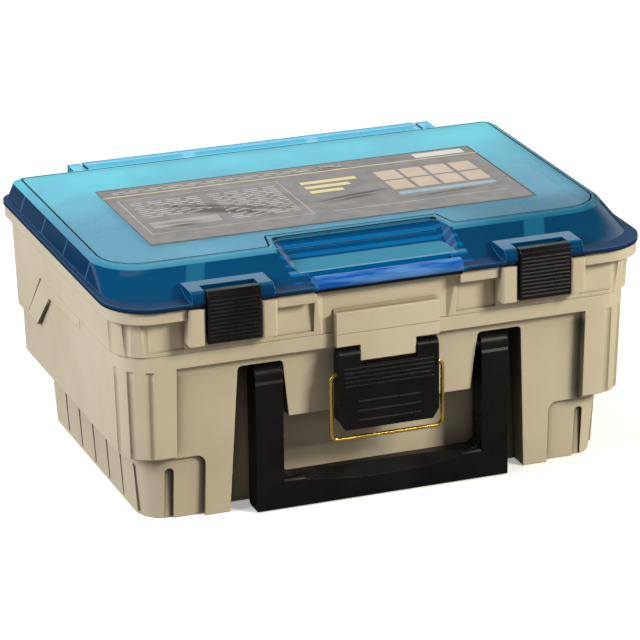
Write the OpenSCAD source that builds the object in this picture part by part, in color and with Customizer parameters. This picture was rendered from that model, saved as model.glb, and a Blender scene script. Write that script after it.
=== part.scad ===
// Two-level fishing tackle cabinet. A deep lower case, a divided upper case and a clear lid
// are hinged at the back. Two snap latches hold the lid, a draw latch with a wire bail holds
// the two cases, and a carry handle folds flat into the front of the lower case.
// Millimetres, +Z up. The front faces -Y and the origin is on the floor under the middle.
// Inside the modules, y is measured backwards from the front edge of the lid flange.

/* [Overall] */
// Width across the lid flange
flange_w = 406; // [380:1:500]
// Depth from the front edge to the rear edge of the lid flange
flange_d = 288; // [262:1:360]
// Height of the parting line between the two cases, at the front
parting_z = 130; // [126:1:170]
// Height of the upper case above the parting line
upper_h = 36.3; // [34:0.1:60]
// Height of the lid above the upper case
lid_h = 18; // [16:0.5:40]
// Thickness of the case walls
wall = 2.5; // [2:0.1:3.5]
// Radius of the flange's front corners in plan
front_r = 35; // [30:1:50]
// Radius of the flange's rear corners in plan
rear_r = 18; // [14:1:24]

/* [Lower case] */
// How far the front walls stand in from the flange at the parting line
parting_inset = 12; // [10:0.5:14]
// How far the side walls stand in from the flange at the parting line
parting_side = 9.5; // [8:0.5:14]
// How far the rear wall stands in from the flange at the parting line
parting_rear = 8; // [7:0.5:10]
// How far the front corners stand in from the flange above the foot
waist_inset = 16; // [15:0.5:18]
// How far the side and rear walls lean in between the parting line and the foot
waist_draft = 2; // [0.5:0.5:4]
// How far the foot stands in from the flange at the front
foot_inset = 30; // [28:0.5:34]
// How far the foot stands in from the flange at the sides
foot_side = 24.5; // [20:0.5:30]
// How far the foot stands in from the flange at the rear
foot_rear = 24; // [18:0.5:30]
// Height of the foot under the corner columns
foot_h = 52; // [40:1:60]
// Drop of the parting line behind the diagonal step
parting_drop = 39; // [20:1:42]
// Distance from the flange front to the start of the diagonal step
drop_y = 203; // [160:1:215]
// Thickness of the lower case floor
floor_t = 3.2; // [2.5:0.1:5]
// Height of the band under the parting line
band_h = 11; // [8:0.5:14]
// Distance from the flange front to the band's own diagonal step on the sides
band_drop_y = 186; // [150:1:200]
// How far the band stands out of the side walls behind its front end
band_proud = 2; // [0.5:0.5:2.5]
// Half width of the sunk front panel between the corner columns
column_x = 155.5; // [145:0.5:158]
// Depth of the front panel behind the flange, just under the band
panel_top_y = 20; // [19:0.5:21]
// Depth of the front panel behind the flange, on the floor
panel_foot_y = 26.5; // [24:0.5:28]
// Half width of the middle part of the front panel that reaches the floor
arch_x = 132; // [124:1:138]
// Width of the flutes in the corner columns
flute_w = 6.5; // [5:0.5:8]
// Depth of the flutes in the corner columns
flute_depth = 2; // [1:0.1:3]

/* [Front recess] */
// Height of the top of the handle slots
slot_z = 111.5; // [108:0.5:113]
// Half width over the handle slots at the top
slot_top_x = 108; // [104:0.5:112]
// Half width over the handle slots on the floor
slot_foot_x = 114; // [110:0.5:118]
// Half width of the apron at the top
apron_top_x = 74.5; // [70:0.5:80]
// Half width of the apron at its lower edge
apron_low_x = 69.5; // [60:0.5:72]
// Height of the apron's lower edge
apron_z = 68; // [60:1:80]
// Distance from the flange front to the back of the recess
recess_y = 43; // [40:0.5:50]

/* [Carry handle] */
// Half width over the handle arms
handle_x = 96.5; // [90:0.5:102]
// Width of each handle arm
arm_w = 20.5; // [16:0.5:21]
// Thickness of the handle from front to back
handle_t = 18; // [14:0.5:20]
// Height of the grip bar
grip_h = 23; // [18:0.5:30]
// Height of the handle pivots above the floor
handle_pivot_z = 101.5; // [98:0.5:102]
// Diameter of the handle pivot pins
handle_pin_d = 5; // [4:0.5:6]
// Depth of the soft hollow along the front edge of the grip
grip_scallop = 4.5; // [1:0.5:6]
// Gap between the folded handle and the floor
handle_floor_gap = 0.6; // [0.4:0.1:3]

/* [Draw latch] */
// Width of the catch block, the hinge block and the black plate
block_w = 78; // [66:1:84]
// Distance from the flange front to the front of the blocks
block_y = 6; // [5:0.5:7]
// Height of the catch lip above the parting line
lip_h = 16; // [14:0.5:18]
// Depth of the hinge block below the parting line
hinge_block_h = 9.5; // [8:0.5:9.5]
// Width of the tongue between the plate's knuckles
tongue_w = 42; // [30:1:50]
// Depth of the plate pivot below the parting line
plate_pivot_drop = 17.5; // [17:0.5:20]
// Length of the plate below its pivot
plate_len = 55; // [44:0.5:60]
// Depth of the bail pivot below the plate pivot
bail_pivot_drop = 13.5; // [11:0.5:18]
// Diameter of the brass wire
wire_d = 3; // [2.5:0.1:3.5]
// Radius of the bends in the bail
bend_r = 5; // [4:0.5:6]

/* [Lid latches] */
// Distance from the middle of the cabinet to the middle of each latch
latch_x = 117; // [112:0.5:122]
// Width of each latch
latch_w = 39; // [34:0.5:42]
// Length of each latch below its pivot
latch_len = 32; // [28:0.5:34]
// How far the latches stand in front of the flange
latch_proud = 3; // [2:0.5:4]
// How far the grip ribs stand out of each latch
rib_proud = 0.45; // [0.2:0.05:0.8]
// Number of grip ribs on each latch
latch_ribs = 11; // [6:1:12]
// Width of each pillar beside a latch
pillar_w = 12.2; // [10:0.1:13]

/* [Lid] */
// Thickness of the lid walls
lid_wall = 2.3; // [2:0.1:3]
// Thickness of the lid flange
lid_flange_t = 3.2; // [2.6:0.1:5]
// Distance from the flange front to the front edge of the flat top
lid_top_front = 53.5; // [44:0.5:60]
// How far the flat top stands in at the sides and the rear
lid_top_inset = 12.5; // [11:0.5:18]
// Distance from the flange front to the foot of the lid's front slope
lid_base_front = 5; // [4:0.5:8]
// Half width of the grip bar and of the bay it spans
bay_x = 54; // [46:1:60]
// Diameter of the grip bar
bar_d = 12; // [10:0.5:13]
// Half width of the hinge tail at the back of the lid
tail_x = 134.5; // [120:0.5:140]
// Width of the label on the flat top
label_w = 297; // [240:1:310]
// Depth of the label on the flat top
label_d = 131.5; // [100:1:150]
// Thickness of the label
label_t = 0.3; // [0.2:0.05:0.6]

/* [Upper case and tray] */
// How far the upper case stands proud of the lower case at the sides
overhang = 3; // [1:0.5:4]
// Thickness of the tray floor
tray_floor_t = 3; // [2.5:0.1:4]
// Distance from the flange front to the tray's cross wall
cross_wall_y = 110; // [90:1:150]
// Height of the dividers
divider_h = 29; // [20:0.5:30]
// Thickness of the removable dividers
divider_t = 1.8; // [1.2:0.1:2.5]
// Spacing of the divider slots
slot_pitch = 42; // [30:1:48]
// Number of divider slots in each bay
slot_count = 7; // [5:2:7]

/* [Hinges] */
// Diameter of the hinge pins and latch pins
pin_d = 3; // [2.5:0.1:3.2]
// Radius of the hinge barrels
barrel_r = 4.3; // [4:0.1:4.8]
// Width of each knuckle of the case hinges
knuckle_w = 15; // [10:0.5:18]
// Distance from the middle to the inner end of each case hinge
case_hinge_x = 70; // [50:1:90]

/* [Clearances] */
// Radial running clearance of a pin in its hole
run = 0.06; // [0.03:0.01:0.1]
// Gap between two cases that rest on each other
rest_gap = 0.3; // [0.2:0.05:0.5]
// Side gap between hinge knuckles and beside the latches
side_gap = 0.6; // [0.4:0.1:1]
// Gap between the locating lip and the lower case wall
lip_gap = 0.8; // [0.6:0.1:1.2]

/* [Hidden] */
$fn = 64;
eps = 0.01;
beige = [0.82, 0.76, 0.64];
black = [0.09, 0.09, 0.10];
clear_blue = [0.10, 0.45, 0.72, 0.75];
steel = [0.70, 0.71, 0.73];
far = 400;                                  // longer than any part of the cabinet

// Heights
rim_z = parting_z + upper_h;                // top of the upper case
flange_z = rim_z + rest_gap / 2;            // underside of the lid flange
lid_z = rim_z + lid_h;                      // flat top of the lid
rear_parting_z = parting_z - parting_drop;
band_z = parting_z - band_h;
rim_h = 9;
neck_z = rim_z - rim_h;                     // underside of the upper case rim
tray_z = parting_z + tray_floor_t;          // top of the tray floor
tray_front_y = 17;
tray_side = parting_side - overhang + wall + 0.5;   // inset of the tray's inner side faces
tray_rear = parting_rear - 2 + wall + 0.5;          // inset of the tray's inner rear face
ear_gap_z = 1.2;                            // the rim is this much lower under the latch ears
band_drop = 30.5;                           // drop of the band's lower edge behind its step

// Hinge axes, as [y, z]
lid_axis = [flange_d + 2, flange_z + 5.5];
case_axis = [flange_d - 3.5, rear_parting_z + 2.5];
plate_axis = [block_y + 4, parting_z - plate_pivot_drop];
bail_axis = [block_y + 3.5, parting_z - plate_pivot_drop - bail_pivot_drop];
latch_axis = [5, flange_z + 5];
latch_low_z = latch_axis[1] - latch_len;
hook_top_z = latch_low_z + 7.8;             // top of the hook inside each latch
handle_axis = [block_y + 19, handle_pivot_z];

// The cabinet is centred front to back on its own box
back_y = lid_axis[0] + barrel_r;
y_front = -(back_y - latch_proud - rib_proud) / 2;

// Lid sections
latch_pocket_y = 14.5;
ear_w = 10;
ear_r = 6;
ledge_y = 24.5;
ledge_z = latch_axis[1] + ear_r;
notch_back_y = lid_top_front + 23;
notch_floor_z = lid_z - 10.5;
notch_floor_back = 47;
notch_floor_front = 24;
notch_top_x = bay_x + 13;
notch_low_x = bay_x + 5;
groove_w = 1.4;                             // fine groove round the flat top
groove_depth = 0.9;
tail_roof_t = 2.6;
bar_y = 0.4 + bar_d / 2;
bar_z = flange_z + 2.9;

// Draw latch sections
bail_len = parting_z + lip_h + wire_d / 2 + 1 - bail_axis[1];
plate_x = block_w / 2 - 1;
plate_t = 3;
plate_r = 5.5;
plate_back = 11;
bail_x = block_w / 2 + 3.5;

// Moves a piece from the flange-front frame to the cabinet's own frame
module home() {
    translate([0, y_front, 0]) children();
}

// Turns a profile drawn as [y, z] into a bar along x, from x0 to x1
module along_x(x0, x1) {
    translate([x0, 0, 0]) rotate([90, 0, 90]) linear_extrude(x1 - x0) children();
}

// Turns a profile drawn as [x, z] into a plate along y, from y0 to y1
module along_y(y0, y1) {
    translate([0, y1, 0]) rotate([90, 0, 0]) linear_extrude(y1 - y0) children();
}

module box(lo, hi) {
    translate(lo) cube(hi - lo);
}

// A round bar or bore along x at [y, z]
module rod(x0, x1, axis, r) {
    translate([x0, axis[0], axis[1]]) rotate([0, 90, 0]) cylinder(h = x1 - x0, r = r, $fn = 48);
}

module both_sides() {
    children();
    mirror([1, 0, 0]) children();
}

// Plan outline: a rectangle inset from the flange, with its own front and rear corner radii
module plan(side, front, rear, rf, rr) {
    hx = flange_w / 2 - side;
    y2 = flange_d - rear;
    translate([-hx + rf, front]) square([2 * (hx - rf), rf]);
    translate([-hx, front + rf]) square([2 * hx, y2 - rr - front - rf]);
    translate([-hx + rr, y2 - rr]) square([2 * (hx - rr), rr]);
    for (s = [-1, 1]) {
        translate([s * (hx - rf), front + rf]) circle(rf);
        translate([s * (hx - rr), y2 - rr]) circle(rr, $fn = 32);
    }
}

module slab(z, side, front, rear, rf, rr) {
    translate([0, 0, z]) linear_extrude(eps) plan(side, front, rear, rf, rr);
}

// The side profile of everything above the parting line, as [y, z], raised by gap
module above_parting(gap) {
    far_z = lid_z + 50;
    polygon([[-20, parting_z + gap], [drop_y, parting_z + gap],
             [drop_y + parting_drop, rear_parting_z + gap], [far, rear_parting_z + gap],
             [far, far_z], [-20, far_z]]);
}

// ---------------------------------------------------------------- lower case

corner_r = front_r - 8;
back_r = rear_r - 4;
foot_r = corner_r - 4;
foot_draft = 3;                             // the foot's sides lean in by this on the floor
arch_r = 7;
arch_z = foot_h - 4.4;                      // lower edge of the sunk front panel
waist_side = parting_side + waist_draft;
waist_rear = parting_rear + waist_draft;
inner_front_y = panel_top_y + wall + 0.5;

// The waist of the lower case, from above the foot up to the parting line
module body_hull() {
    hull() {
        slab(foot_h, waist_side, waist_inset, waist_rear, corner_r - 2, back_r);
        slab(parting_z, parting_side, parting_inset, parting_rear, corner_r, back_r);
    }
}

// Everything in front of the sunk front panel, which leans back towards the floor
module panel_cutter(x, z0, z1) {
    lean = atan((panel_foot_y - panel_top_y) / band_z);
    intersection() {
        translate([-x, panel_foot_y, 0]) rotate([lean, 0, 0])
            translate([0, -60, -30]) cube([2 * x, 60, band_z + 60]);
        box([-x, -40, z0], [x, 60, z1]);
    }
}

// The recess for the handle, as [x, z]: two slots and the hollow under the apron.
// A positive grow gives the outside of its wall.
module recess_outline(grow) {
    low = -10;
    polygon([[-slot_foot_x - grow, low], [-slot_top_x - grow, slot_z + grow],
             [-apron_top_x + grow, slot_z + grow], [-apron_low_x + grow, apron_z + grow],
             [apron_low_x - grow, apron_z + grow], [apron_top_x - grow, slot_z + grow],
             [slot_top_x + grow, slot_z + grow], [slot_foot_x + grow, low]]);
}

module rounded_recess() {
    offset(r = 3, $fn = 24) offset(delta = -3) recess_outline(0);
}

flute_r = (flute_w * flute_w / 4 + flute_depth * flute_depth) / (2 * flute_depth);

// Three flutes round a front corner, cut by cylinders that lean out with its walls
module corner_flutes(side, front, r, z0, z1, lean_side, lean_front) {
    for (a = [17, 46, 79]) {
        reach = r + flute_r - flute_depth;
        lean = lean_side + (lean_front - lean_side) * cos(a);
        translate([flange_w / 2 - side - r + reach * sin(a), front + r - reach * cos(a), z0])
            rotate([atan(lean / (parting_z - foot_h)), 0, a])
                cylinder(h = z1 - z0, r = flute_r, $fn = 48);
    }
}

// Blind slot in the foot under a front corner, with a round top. A positive grow gives the
// outside of the wall behind it.
module foot_slot(grow) {
    slot_r = 3.25;
    x = column_x + 2.25;
    top = foot_h - 16;
    intersection() {
        along_x(x - slot_r - grow, x + slot_r + grow)
            polygon([[10, -1], [foot_inset + 3.6 + grow, -1], [foot_inset + 0.6 + grow, foot_h],
                     [10, foot_h]]);
        along_y(10, foot_inset + 20) {
            translate([x - slot_r - grow, -1]) square([2 * (slot_r + grow), top + 1]);
            translate([x, top]) circle(slot_r + grow, $fn = 32);
        }
    }
}

// The band under the parting line stands out of the sides, and fades out towards the front
module side_band() {
    wall_x = flange_w / 2 - parting_side;
    fade = 70;
    intersection() {
        linear_extrude(parting_z) intersection() {
            plan(parting_side - band_proud, parting_inset, parting_rear, corner_r, back_r);
            polygon([[-wall_x, band_drop_y - fade], [wall_x, band_drop_y - fade],
                     [wall_x + band_proud, band_drop_y + 4], [wall_x + band_proud, far],
                     [-wall_x - band_proud, far], [-wall_x - band_proud, band_drop_y + 4]]);
        }
        along_x(-far, far)
            polygon([[0, band_z], [band_drop_y, band_z],
                     [band_drop_y + band_drop + 2.5, band_z - band_drop],
                     [far, band_z - band_drop], [far, far], [0, far]]);
    }
}

module lower_outside() {
    side_band();
    difference() {
        union() {
            body_hull();
            hull() {
                slab(foot_h, waist_side, waist_inset, waist_rear, corner_r - 2, back_r);
                slab(foot_h - 5, foot_side - 4, foot_inset - 5, foot_rear - 4,
                     foot_r, foot_r);
            }
        }
        panel_cutter(column_x, -1, band_z);
        both_sides() corner_flutes(waist_side, waist_inset, corner_r - 2, foot_h - 6, band_z - 1,
                                   waist_draft, waist_inset - parting_inset);
    }
    hull() {
        slab(0, foot_side + foot_draft, foot_inset + 1, foot_rear + 1, foot_r, foot_r);
        slab(foot_h - 4, foot_side, foot_inset - 3, foot_rear, foot_r, foot_r);
    }
    // Middle of the front panel, down to the floor, with rounded arches beside it
    difference() {
        union() {
            box([-arch_x, 15, 0], [arch_x, recess_y + 3, foot_h + 1]);
            both_sides() difference() {
                box([arch_x - eps, 15, arch_z - arch_r], [arch_x + arch_r, recess_y, foot_h + 1]);
                translate([arch_x + arch_r, far, arch_z - arch_r]) rotate([90, 0, 0])
                    cylinder(h = 2 * far, r = arch_r, $fn = 32);
            }
        }
        panel_cutter(arch_x + arch_r + 1, -1, foot_h + 2);
    }
    // Stepped ribs low on each side
    rib_x = flange_w / 2 - foot_side;
    both_sides() for (y0 = [46:33:flange_d - 76])
        along_y(y0, y0 + 3)
            polygon([[rib_x - 4, 3], [rib_x - foot_draft + 0.7, 3], [rib_x + 0.1, foot_h - 14],
                     [rib_x - 4, foot_h - 14]]);
}

module lower_inside() {
    difference() {
        union() {
            hull() {
                slab(floor_t, foot_side + wall + foot_draft, foot_inset + wall + 1.5,
                     foot_rear + wall + 1, foot_r - 2, foot_r - 2);
                slab(foot_h + 2, foot_side + wall, foot_inset, foot_rear + wall,
                     foot_r - 2, foot_r - 2);
            }
            hull() {
                slab(foot_h + 2, waist_side + wall, inner_front_y + 5, waist_rear + wall,
                     corner_r - 3, back_r - 1);
                slab(parting_z + 1, parting_side + wall, inner_front_y, parting_rear + wall,
                     corner_r - 3, back_r - 1);
            }
        }
        along_y(-20, recess_y + wall) recess_outline(wall);
    }
}

// A web that joins a barrel to the wall in front of it. side is -1 for a web that hangs below
// the barrel and 1 for one that stands above it.
module hinge_web(axis, side, z_near, z_far) {
    polygon([[axis[0] - 6, z_near], [axis[0] + 1, z_near],
             [axis[0] + barrel_r - 0.5, axis[1] + side * 3],
             [axis[0] - 3.5, z_far], [axis[0] - 6, z_far]]);
}

// Knuckles number first, first + 2 and so on of a case hinge of five
module case_knuckles(first, side, z_near, z_far) {
    for (i = [first:2:4]) {
        x0 = case_hinge_x + i * knuckle_w + side_gap / 2;
        x1 = case_hinge_x + (i + 1) * knuckle_w - side_gap / 2;
        rod(x0, x1, case_axis, barrel_r);
        along_x(x0, x1) hinge_web(case_axis, side, z_near, z_far);
    }
}

module lower_case() {
    color(beige) home() difference() {
        union() {
            difference() {
                lower_outside();
                difference() {
                    lower_inside();
                    both_sides() foot_slot(wall);
                }
                both_sides() foot_slot(0);
                along_x(-far, far) above_parting(-rest_gap);
                along_y(-20, recess_y) rounded_recess();
                // Hollow under the floor, so that the case stands on its edge
                box([-flange_w / 2 + foot_side + 16, recess_y + 12, -1],
                    [flange_w / 2 - foot_side - 16, flange_d - foot_rear - 16, 1]);
            }
            // Floor rails that keep storage boxes apart
            for (x = [-1, 1])
                box([x * 60 - 1, recess_y + 8, floor_t - eps],
                    [x * 60 + 1, flange_d - foot_rear - 12, floor_t + 10]);
            // Hinge block and tongue
            box([-block_w / 2, block_y, parting_z - hinge_block_h],
                [block_w / 2, panel_top_y + 3, parting_z - rest_gap]);
            box([-tongue_w / 2, block_y, plate_axis[1] - 4],
                [tongue_w / 2, panel_top_y + 4, parting_z - hinge_block_h + eps]);
            both_sides() {
                case_knuckles(0, -1, rear_parting_z - rest_gap, rear_parting_z - 10);
                // Boss behind the apron for the handle pin
                box([apron_low_x - 9, panel_top_y + 2, handle_pivot_z - 6],
                    [apron_low_x + 1.5, handle_axis[0] + 6, handle_pivot_z + 6]);
            }
        }
        rod(-far, far, plate_axis, pin_d / 2);
        both_sides() {
            rod(apron_low_x - 8, apron_top_x + 1, handle_axis, handle_pin_d / 2);
            rod(case_hinge_x - 1, case_hinge_x + 5 * knuckle_w + 1, case_axis, pin_d / 2);
        }
        // Room for the upper case's knuckles
        both_sides() for (i = [1, 3])
            rod(case_hinge_x + i * knuckle_w - eps, case_hinge_x + (i + 1) * knuckle_w + eps,
                case_axis, barrel_r + side_gap);
    }
}

// ---------------------------------------------------------------- upper case

module pillar(x0) {
    r = 2.5;
    low = parting_z + 8.5;
    top = rim_z - ear_gap_z;
    for (x = [x0 + r, x0 + pillar_w - r])
        translate([x, r - 1, low]) cylinder(h = top - low, r = r, $fn = 32);
    box([x0 + r, -1, low], [x0 + pillar_w - r, tray_front_y, top]);
    box([x0, r - 1, low], [x0 + pillar_w, tray_front_y, top]);
}

// Divider slots on an inner wall at y, opening towards side
module divider_slots(y, side) {
    depth = 2.2;
    rib = 1.5;
    half = (slot_count - 1) / 2;
    for (i = [-half:half], s = [-1, 1]) {
        x = i * slot_pitch + s * (divider_t / 2 + 0.25 + rib / 2);
        y0 = side > 0 ? y - 0.5 : y - depth;
        y1 = side > 0 ? y + depth : y + 0.5;
        box([x - rib / 2, y0, tray_z - eps], [x + rib / 2, y1, tray_z + divider_h - 2]);
    }
}

// The inside of the tray, above its floor
module tray_inside() {
    hull() {
        slab(tray_z, tray_side, tray_front_y, tray_rear, corner_r - 3, back_r - 1);
        slab(rim_z + 1, tray_side - 2, tray_front_y - 1, tray_rear - 2, corner_r, back_r);
    }
}

// The outside of the upper case, with the skirt that closes the step in the parting line
module upper_body() {
    top = parting_inset - 3;
    slope = 3 / (neck_z - parting_z);
    side = parting_side - overhang;
    rear = parting_rear - 2;
    intersection() {
        hull() {
            slab(rear_parting_z, side + 1, parting_inset + slope * parting_drop, rear + 1,
                 corner_r, back_r);
            slab(neck_z + 1, side - 1, top, rear - 1, corner_r + 2, back_r);
        }
        along_x(-far, far) above_parting(0);
    }
}

module upper_outside() {
    difference() {
        union() {
            upper_body();
            translate([0, 0, neck_z]) linear_extrude(rim_h)
                plan(1, 3.5, 2, front_r - 4, rear_r - 2);
        }
        // Bay behind the lid's grip bar
        translate([0, 0, parting_z - 1]) linear_extrude(upper_h + 2)
            polygon([[-bay_x, -1], [bay_x, -1], [bay_x, parting_inset - 4],
                     [bay_x - 8, parting_inset + 1.5], [-bay_x + 8, parting_inset + 1.5],
                     [-bay_x, parting_inset - 4]]);
        // Hollow behind the skirt
        hull() {
            slab(foot_h, parting_side + wall + 0.5, drop_y - 30, parting_rear + wall,
                 back_r, back_r);
            slab(parting_z, parting_side + wall, drop_y - 30, parting_rear + wall,
                 back_r, back_r);
        }
    }
    // Wall across the bay
    box([-bay_x - 1, parting_inset + 1, parting_z], [bay_x + 1, tray_front_y, rim_z]);
}

// Lip that drops inside the lower case's front and side walls
module locating_lip() {
    outer = parting_side + wall + lip_gap;
    lip_t = 2;
    front = inner_front_y + lip_gap + 0.3;
    difference() {
        translate([0, 0, parting_z - 5]) linear_extrude(5 + eps)
            plan(outer, front, outer, corner_r - 3, back_r - 1);
        translate([0, 0, parting_z - 6]) linear_extrude(7)
            plan(outer + lip_t, front + lip_t, outer, corner_r - 5, back_r - 1);
        box([-far, drop_y - 12, parting_z - 7], [far, far, parting_z + 1]);
    }
}

lid_knuckles = [[bay_x - 8, bay_x], [tail_x + 1, tail_x + 9]];

// Knuckles of the upper case on the lid's hinge
module upper_lid_knuckles() {
    for (k = lid_knuckles) both_sides() {
        x0 = k[0];
        x1 = k[1];
        rod(x0, x1, lid_axis, barrel_r);
        along_x(x0, x1)
            polygon([[flange_d - 6, rim_z - 7], [flange_d - 2, rim_z - 7],
                     [lid_axis[0] + barrel_r - 0.4, lid_axis[1] - 1.5],
                     [lid_axis[0] - barrel_r + 0.4, lid_axis[1] - 1.5],
                     [lid_axis[0] - barrel_r + 0.4, rim_z - 0.5],
                     [flange_d - 6, rim_z - 0.5]]);
    }
}

// Catch block: front lip, groove for the bail and a low rear rib
module catch_block() {
    top = parting_z + lip_h;
    y0 = block_y;
    along_x(-block_w / 2, block_w / 2)
        polygon([[y0 + 9, parting_z], [y0, parting_z], [y0, top - 0.6], [y0 + 0.6, top],
                 [y0 + 1.6, top], [y0 + 1.6, top - 1.6], [y0 + 5.6, top - 1.6],
                 [y0 + 5.6, top + 1], [y0 + 9, top + 1]]);
}

module upper_case() {
    inner = latch_x - latch_w / 2 - 0.8 - pillar_w;
    outer = latch_x + latch_w / 2 + 0.8;
    catch_y = 2.5;
    color(beige) home() difference() {
        union() {
            difference() {
                upper_outside();
                tray_inside();
                both_sides() corner_flutes(parting_side - overhang - 0.5, parting_inset - 1.5,
                                           corner_r + 1, parting_z - 1, neck_z - eps, 0, 0);
                // Sunk panels between the pillars and the corners
                both_sides() {
                    box([bay_x, 0, parting_z + 3], [inner, parting_inset + 1.2, neck_z]);
                    box([outer + pillar_w, 0, parting_z + 3],
                        [flange_w / 2 - 26, parting_inset + 1, neck_z]);
                }
                // Lower rim top under the latch ears
                both_sides() box([inner - 1.5, -1, rim_z - ear_gap_z],
                                 [outer + pillar_w + 1.5, tray_front_y - 1, rim_z + 1]);
            }
            locating_lip();
            catch_block();
            both_sides() {
                pillar(inner);
                pillar(outer);
                // Catch rib behind each latch
                box([latch_x - latch_w / 2 + 4, catch_y, hook_top_z + side_gap],
                    [latch_x + latch_w / 2 - 4, parting_inset + 1, hook_top_z + side_gap + 3]);
            }
            // Cross wall and divider slots
            box([-flange_w / 2 + tray_side - 2, cross_wall_y - 1, tray_z - 1],
                [flange_w / 2 - tray_side + 2, cross_wall_y + 1, tray_z + divider_h]);
            divider_slots(tray_front_y, 1);
            divider_slots(cross_wall_y - 1, -1);
            divider_slots(cross_wall_y + 1, 1);
            divider_slots(flange_d - tray_rear, -1);
            both_sides() case_knuckles(1, 1, case_axis[1] + 0.9, rear_parting_z + 12);
            upper_lid_knuckles();
        }
        rod(-far, far, lid_axis, pin_d / 2);
        // Room for the ends of the grip bar
        rod(-bay_x - 1 - side_gap, bay_x + 1 + side_gap, [bar_y, bar_z], bar_d / 2 + rest_gap);
        both_sides() {
            rod(case_hinge_x - 1, case_hinge_x + 5 * knuckle_w + 1, case_axis, pin_d / 2 + run);
            // Room for the lower case's knuckles
            for (i = [0, 2, 4])
                rod(case_hinge_x + i * knuckle_w - eps,
                    case_hinge_x + (i + 1) * knuckle_w + eps, case_axis, barrel_r + side_gap);
        }
    }
}

// ---------------------------------------------------------------- lid

lid_shoulder_z = lid_z - 2.6;
lid_shoulder_front = lid_top_front - 5;
lid_shoulder_inset = lid_top_inset - 4.5;
lid_base_inset = lid_top_inset - 9.5;

// The raised part of the lid above its flange, shrunk by t
module lid_dome(t, base_z) {
    hull() {
        slab(base_z, lid_base_inset + t, lid_base_front + 2.4 * t, lid_base_inset + t,
             front_r + 3 - t, rear_r - 6);
        slab(lid_shoulder_z - t, lid_shoulder_inset + t, lid_shoulder_front + t,
             lid_shoulder_inset + t, front_r + 1 - t, rear_r - 8);
    }
    hull() {
        slab(lid_shoulder_z - t, lid_shoulder_inset + t, lid_shoulder_front + t,
             lid_shoulder_inset + t, front_r + 1 - t, rear_r - 8);
        slab(lid_z - t - eps, lid_top_inset + t, lid_top_front + t, lid_top_inset + t,
             front_r - 5 - t, rear_r - 12);
    }
}

// The notch in the middle of the lid's front slope, grown by t
module lid_notch(t) {
    hull() {
        translate([0, 0, lid_z + 1]) linear_extrude(eps)
            offset(r = 6, $fn = 24) offset(delta = -6)
                polygon([[-notch_top_x - 9 - t, 0], [-notch_top_x + 3 - t, notch_back_y + t],
                         [notch_top_x - 3 + t, notch_back_y + t], [notch_top_x + 9 + t, 0]]);
        translate([0, 0, notch_floor_z - t]) linear_extrude(eps)
            offset(r = 5, $fn = 24) offset(delta = -5)
                polygon([[-notch_low_x - 2 - t, 0], [-notch_low_x - t, notch_floor_back + t],
                         [notch_low_x + t, notch_floor_back + t], [notch_low_x + 2 + t, 0]]);
    }
}

// Outline of the flat top, with the notch taken out
module lid_top_outline() {
    difference() {
        plan(lid_top_inset, lid_top_front, lid_top_inset, front_r - 5, rear_r - 12);
        polygon([[-notch_top_x - 11, 10], [-notch_top_x + 3, notch_back_y],
                 [notch_top_x - 3, notch_back_y], [notch_top_x + 11, 10]]);
    }
}

// Bracket round a latch: two ears joined by a ledge
module latch_bracket() {
    x0 = latch_x - latch_w / 2 - side_gap - ear_w;
    x1 = latch_x + latch_w / 2 + side_gap + ear_w;
    for (x = [x0, x1 - ear_w]) {
        rod(x, x + ear_w, latch_axis, ear_r);
        box([x, latch_axis[0], flange_z + 0.5], [x + ear_w, ledge_y, ledge_z]);
    }
    box([x0, latch_pocket_y, flange_z + 0.5], [x1, ledge_y, ledge_z]);
}

module latch_pocket() {
    x0 = latch_x - latch_w / 2 - side_gap;
    x1 = latch_x + latch_w / 2 + side_gap;
    box([x0, -20, flange_z - 3], [x1, latch_pocket_y, lid_z]);
}

// Hinge tail: a roof over the hinge with webs down to the lid's barrels
module lid_tail() {
    box([-tail_x, flange_d - lid_top_inset - 4, lid_z - tail_roof_t],
        [tail_x, back_y - 0.6, lid_z]);
    for (span = [[-tail_x, -bay_x - 1], [-bay_x + 9, bay_x - 9], [bay_x + 1, tail_x]]) {
        rod(span[0], span[1], lid_axis, barrel_r);
        box([span[0], lid_axis[0] + 0.4, lid_axis[1]], [span[1], back_y - 0.6, lid_z - 1]);
    }
    // An ear over the outermost knuckle at each end, with a web outside it
    ear_x = lid_knuckles[1][1] + 2 * side_gap;
    both_sides() {
        box([tail_x + 2, flange_d - lid_top_inset - 4, lid_z - tail_roof_t],
            [ear_x + 1.8, back_y - 2, lid_z]);
        box([ear_x, flange_d - 6, flange_z + 0.5], [ear_x + 1.8, back_y - 2, lid_z - 1]);
    }
}

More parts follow.
